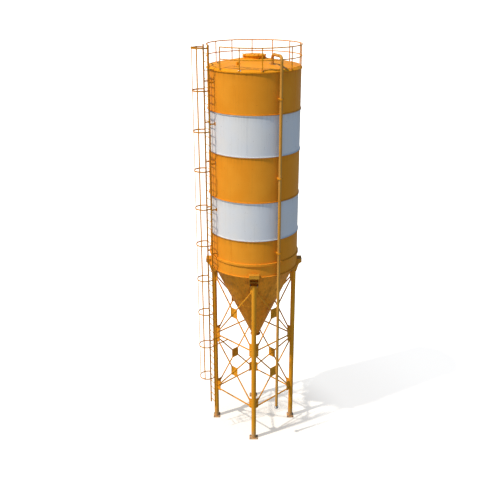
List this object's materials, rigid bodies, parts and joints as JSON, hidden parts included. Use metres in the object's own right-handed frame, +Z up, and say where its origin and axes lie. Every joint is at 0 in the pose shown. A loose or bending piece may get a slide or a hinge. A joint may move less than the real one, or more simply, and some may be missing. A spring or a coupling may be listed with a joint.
{
  "type": "cement silo",
  "caption": "Upright banded steel cement silo on braced tube legs, with conical roof and hopper, caged ladder, roof guardrail and fill pipe.",
  "frame": {"origin": "on the ground plane, under the middle of the whole part's plan", "axes": "+Z up along the silo's height; the square of legs has its sides along X and Y; the caged ladder is on the -Y side and the fill pipe on the +X side"},
  "size_m": [3.725, 4.1936, 16.0997],
  "materials": {
    "shell_course_1_orange_paint": "satin",
    "shell_course_2_white_paint": "satin",
    "shell_course_3_orange_paint": "satin",
    "shell_course_4_white_paint": "satin",
    "shell_course_5_orange_paint": "satin",
    "roof_cone_paint": "satin",
    "hatch_collar_paint": "satin",
    "hatch_lid_paint": "satin",
    "roof_vent_paint": "satin",
    "hopper_cone_paint": "satin",
    "outlet_flange_paint": "satin",
    "leg_right_paint": "satin",
    "leg_rear_paint": "satin",
    "leg_left_paint": "satin",
    "leg_front_paint": "satin",
    "leg_bracket_right_paint": "satin",
    "leg_bracket_rear_paint": "satin",
    "leg_bracket_left_paint": "satin",
    "leg_bracket_front_paint": "satin",
    "side_bracing_front_right_paint": "satin",
    "side_bracing_rear_right_paint": "satin",
    "side_bracing_rear_left_paint": "satin",
    "side_bracing_front_left_paint": "satin",
    "ladder_lower_paint": "satin",
    "ladder_middle_paint": "satin",
    "ladder_upper_paint": "satin",
    "cage_lower_paint": "satin",
    "cage_middle_paint": "satin",
    "cage_upper_paint": "satin",
    "fill_pipe_paint": "satin",
    "hose_coupling_paint": "satin",
    "pipe_clamp_1_paint": "satin",
    "pipe_clamp_2_paint": "satin",
    "pipe_clamp_3_paint": "satin",
    "guardrail_1_paint": "satin",
    "guardrail_2_paint": "satin",
    "guardrail_3_paint": "satin",
    "guardrail_4_paint": "satin"
  },
  "bodies": {
    "root": {"shell_course_1_orange": "shell_course_1_orange_paint", "shell_course_2_white": "shell_course_2_white_paint", "shell_course_3_orange": "shell_course_3_orange_paint", "shell_course_4_white": "shell_course_4_white_paint", "shell_course_5_orange": "shell_course_5_orange_paint", "roof_cone": "roof_cone_paint", "hatch_collar": "hatch_collar_paint", "hatch_lid": "hatch_lid_paint", "roof_vent": "roof_vent_paint", "hopper_cone": "hopper_cone_paint", "outlet_flange": "outlet_flange_paint", "leg_right": "leg_right_paint", "leg_rear": "leg_rear_paint", "leg_left": "leg_left_paint", "leg_front": "leg_front_paint", "leg_bracket_right": "leg_bracket_right_paint", "leg_bracket_rear": "leg_bracket_rear_paint", "leg_bracket_left": "leg_bracket_left_paint", "leg_bracket_front": "leg_bracket_front_paint", "side_bracing_front_right": "side_bracing_front_right_paint", "side_bracing_rear_right": "side_bracing_rear_right_paint", "side_bracing_rear_left": "side_bracing_rear_left_paint", "side_bracing_front_left": "side_bracing_front_left_paint", "ladder_lower": "ladder_lower_paint", "ladder_middle": "ladder_middle_paint", "ladder_upper": "ladder_upper_paint", "cage_lower": "cage_lower_paint", "cage_middle": "cage_middle_paint", "cage_upper": "cage_upper_paint", "fill_pipe": "fill_pipe_paint", "hose_coupling": "hose_coupling_paint", "pipe_clamp_1": "pipe_clamp_1_paint", "pipe_clamp_2": "pipe_clamp_2_paint", "pipe_clamp_3": "pipe_clamp_3_paint", "guardrail_1": "guardrail_1_paint", "guardrail_2": "guardrail_2_paint", "guardrail_3": "guardrail_3_paint", "guardrail_4": "guardrail_4_paint"}
  },
  "joints": []
}
